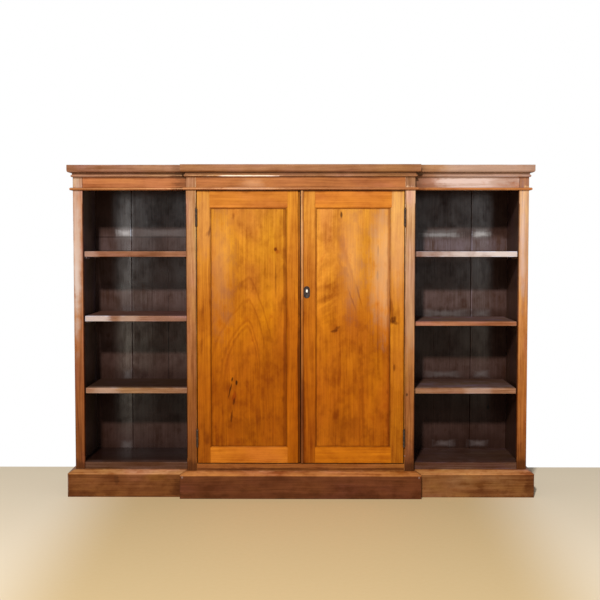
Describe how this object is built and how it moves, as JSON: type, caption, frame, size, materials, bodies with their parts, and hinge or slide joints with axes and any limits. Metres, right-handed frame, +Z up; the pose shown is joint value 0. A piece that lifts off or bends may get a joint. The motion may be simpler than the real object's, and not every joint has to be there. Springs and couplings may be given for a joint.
{
  "type": "breakfront bookcase",
  "caption": "Low breakfront bookcase with open shelved wings either side of a cupboard with panelled doors, on a bevelled plinth under a moulded cornice.",
  "frame": {"origin": "middle of the plinth's underside, at the floor, half way between the front of the centre plinth and the back", "axes": "+X runs along the bookcase to the viewer's right, +Y to its back, +Z up; the doors face -Y"},
  "size_m": [1.846, 0.383, 1.311],
  "materials": {
    "outer_mahogany": "satin polish, pinkish tan, on the uprights and frieze",
    "cornice_mahogany": "satin polish, red brown",
    "door_mahogany": "polished, honey orange with arched figure",
    "plinth_mahogany": "satin polish, dark red brown",
    "shelf_mahogany": "worn satin",
    "stained_pine": "dull dark stain",
    "dark_steel": "darkened with age",
    "dark_brass": "tarnished brown"
  },
  "bodies": {
    "carcase": {"back_board_centre": "stained_pine", "back_board_left_inner": "stained_pine", "back_board_left_outer": "stained_pine", "back_board_right_inner": "stained_pine", "back_board_right_outer": "stained_pine", "bead_centre": "outer_mahogany", "bead_left": "outer_mahogany", "bead_right": "outer_mahogany", "bottom_board_centre": "outer_mahogany", "bottom_board_left": "shelf_mahogany", "bottom_board_right": "shelf_mahogany", "centre_pilaster_left": "outer_mahogany", "centre_pilaster_right": "outer_mahogany", "cornice_centre": "cornice_mahogany", "cornice_left": "cornice_mahogany", "cornice_right": "cornice_mahogany", "cupboard_shelf": "stained_pine", "end_panel_left": "outer_mahogany", "end_panel_right": "outer_mahogany", "frieze_centre": "outer_mahogany", "frieze_left": "outer_mahogany", "frieze_right": "outer_mahogany", "hinge_frame_leaf_left_bottom": "dark_steel", "hinge_frame_leaf_left_top": "dark_steel", "hinge_frame_leaf_right_bottom": "dark_steel", "hinge_frame_leaf_right_top": "dark_steel", "outer_stile_left": "outer_mahogany", "outer_stile_right": "outer_mahogany", "partition_left": "stained_pine", "partition_right": "stained_pine", "plinth_back_rail": "stained_pine", "plinth_centre": "plinth_mahogany", "plinth_left": "plinth_mahogany", "plinth_right": "plinth_mahogany", "shelf_left_lower": "shelf_mahogany", "shelf_left_middle": "shelf_mahogany", "shelf_left_upper": "shelf_mahogany", "shelf_right_lower": "shelf_mahogany", "shelf_right_middle": "shelf_mahogany", "shelf_right_upper": "shelf_mahogany", "top_board": "cornice_mahogany"},
    "left_door": {"hinge_door_leaf_left_bottom": "dark_steel", "hinge_door_leaf_left_top": "dark_steel", "left_door_bottom_rail": "door_mahogany", "left_door_hinge_stile": "door_mahogany", "left_door_meeting_stile": "door_mahogany", "left_door_panel": "door_mahogany", "left_door_top_rail": "door_mahogany"},
    "right_door": {"astragal_bead": "door_mahogany", "escutcheon_plate": "dark_brass", "hinge_door_leaf_right_bottom": "dark_steel", "hinge_door_leaf_right_top": "dark_steel", "lock_case": "dark_brass", "right_door_bottom_rail": "door_mahogany", "right_door_hinge_stile": "door_mahogany", "right_door_meeting_stile": "door_mahogany", "right_door_panel": "door_mahogany", "right_door_top_rail": "door_mahogany"},
    "keyhole_cover": {"keyhole_cover": "dark_brass"},
    "lock_bolt": {"lock_bolt": "dark_brass"}
  },
  "joints": [
    {"name": "left_door_hinge", "type": "hinge", "parent": "carcase", "child": "left_door", "pos_m": [-0.40725, -0.1693, 0.67325], "axis": [0, 0, -1], "range_deg": [0, 165]},
    {"name": "right_door_hinge", "type": "hinge", "parent": "carcase", "child": "right_door", "pos_m": [0.40725, -0.1693, 0.67325], "axis": [0, 0, 1], "range_deg": [0, 165]},
    {"name": "keyhole_cover_swing", "type": "hinge", "parent": "right_door", "child": "keyhole_cover", "pos_m": [0.0243, -0.168, 0.829], "axis": [0, -1, 0], "range_deg": [-18, 110]},
    {"name": "lock_bolt_slide", "type": "slide", "parent": "right_door", "child": "lock_bolt", "axis": [-1, 0, 0], "range_m": [0, 0.008]}
  ]
}
